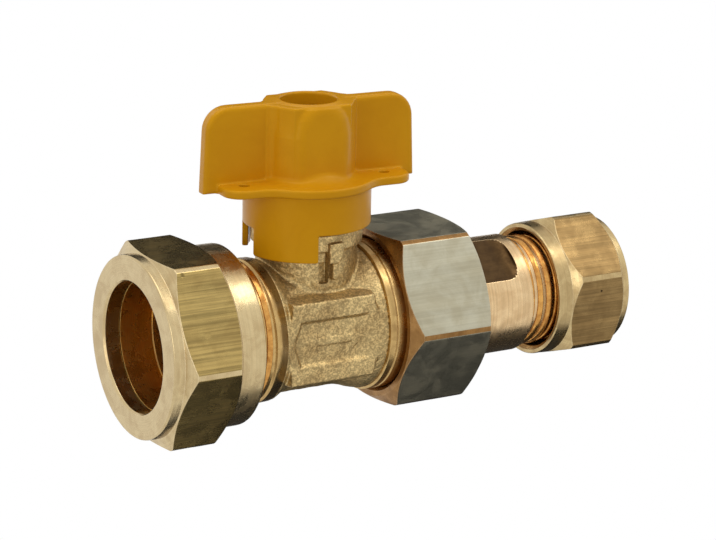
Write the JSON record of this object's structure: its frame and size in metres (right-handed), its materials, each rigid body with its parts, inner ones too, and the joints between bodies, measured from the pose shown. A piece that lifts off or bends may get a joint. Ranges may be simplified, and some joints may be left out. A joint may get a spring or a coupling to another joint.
{
  "type": "gas ball valve",
  "caption": "Quarter-turn gas valve with a yellow wing handle, a compression nut at each end and a union joint behind the ball.",
  "frame": {"origin": "centre of the inlet pipe's end, where it rests against the stop of the inlet socket, on the pipe line", "axes": "+X along the pipe line from inlet to outlet, +Z along the stem towards the handle, -Y the side with the stop lug"},
  "size_m": [0.0937, 0.0364, 0.0559],
  "materials": {
    "cast_brass": "shot-blasted casting, matt",
    "turned_brass": "turned, satin",
    "bar_brass": "drawn hexagon bar, brushed along the bar",
    "olive_brass": "polished, warm",
    "ball_plating": "polished plating",
    "seat_polymer": "smooth white",
    "seal_rubber": "smooth black",
    "yellow_coat": "glossy powder coat on die-cast metal",
    "zinc_steel": "zinc plated",
    "gasket_fibre": "pressed fibre"
  },
  "bodies": {
    "valve": {"valve_body": "cast_brass", "seat_retainer": "turned_brass", "retainer_ring": "seal_rubber", "inlet_seat": "seat_polymer", "outlet_seat": "seat_polymer", "thrust_washer": "seat_polymer"},
    "handle_and_ball": {"handle": "yellow_coat", "handle_washer": "zinc_steel", "handle_screw": "zinc_steel", "stem": "turned_brass", "ball": "ball_plating", "lower_stem_ring": "seal_rubber", "upper_stem_ring": "seal_rubber"},
    "inlet_olive_ring": {"inlet_olive": "olive_brass"},
    "inlet_nut_ring": {"inlet_nut": "bar_brass"},
    "union_tail": {"tailpiece": "turned_brass", "union_gasket": "gasket_fibre"},
    "union_nut_ring": {"union_nut": "bar_brass"},
    "outlet_olive_ring": {"outlet_olive": "olive_brass"},
    "outlet_nut_ring": {"outlet_nut": "bar_brass"}
  },
  "joints": [
    {"name": "handle_turn", "type": "hinge", "parent": "valve", "child": "handle_and_ball", "pos_m": [0.0136, 0, 0], "axis": [0, 0, 1], "range_deg": [-85.7, 4.3]},
    {"name": "inlet_nut_travel", "type": "slide", "parent": "valve", "child": "inlet_olive_ring", "axis": [-1, 0, 0], "range_m": [0, 0.00907]},
    {"name": "inlet_nut_turn", "type": "hinge", "parent": "inlet_olive_ring", "child": "inlet_nut_ring", "pos_m": [-0.015, 0, 0], "axis": [-1, 0, 0], "range_deg": [0, 1800.1]},
    {"name": "union_travel", "type": "slide", "parent": "valve", "child": "union_tail", "axis": [1, 0, 0], "range_m": [0, 0.00635]},
    {"name": "union_nut_turn", "type": "hinge", "parent": "union_tail", "child": "union_nut_ring", "pos_m": [0.034, 0, 0], "axis": [1, 0, 0], "range_deg": [0, 1260.1]},
    {"name": "outlet_nut_travel", "type": "slide", "parent": "union_tail", "child": "outlet_olive_ring", "axis": [1, 0, 0], "range_m": [0, 0.00544]},
    {"name": "outlet_nut_turn", "type": "hinge", "parent": "outlet_olive_ring", "child": "outlet_nut_ring", "pos_m": [0.067, 0, 0], "axis": [1, 0, 0], "range_deg": [0, 1080.1]}
  ],
  "couplings": [
    {"joint": "inlet_nut_turn", "follows": "inlet_nut_travel", "rad_per_m": 3463.7},
    {"joint": "union_nut_turn", "follows": "union_travel", "rad_per_m": 3463.7},
    {"joint": "outlet_nut_turn", "follows": "outlet_nut_travel", "rad_per_m": 3463.7}
  ]
}
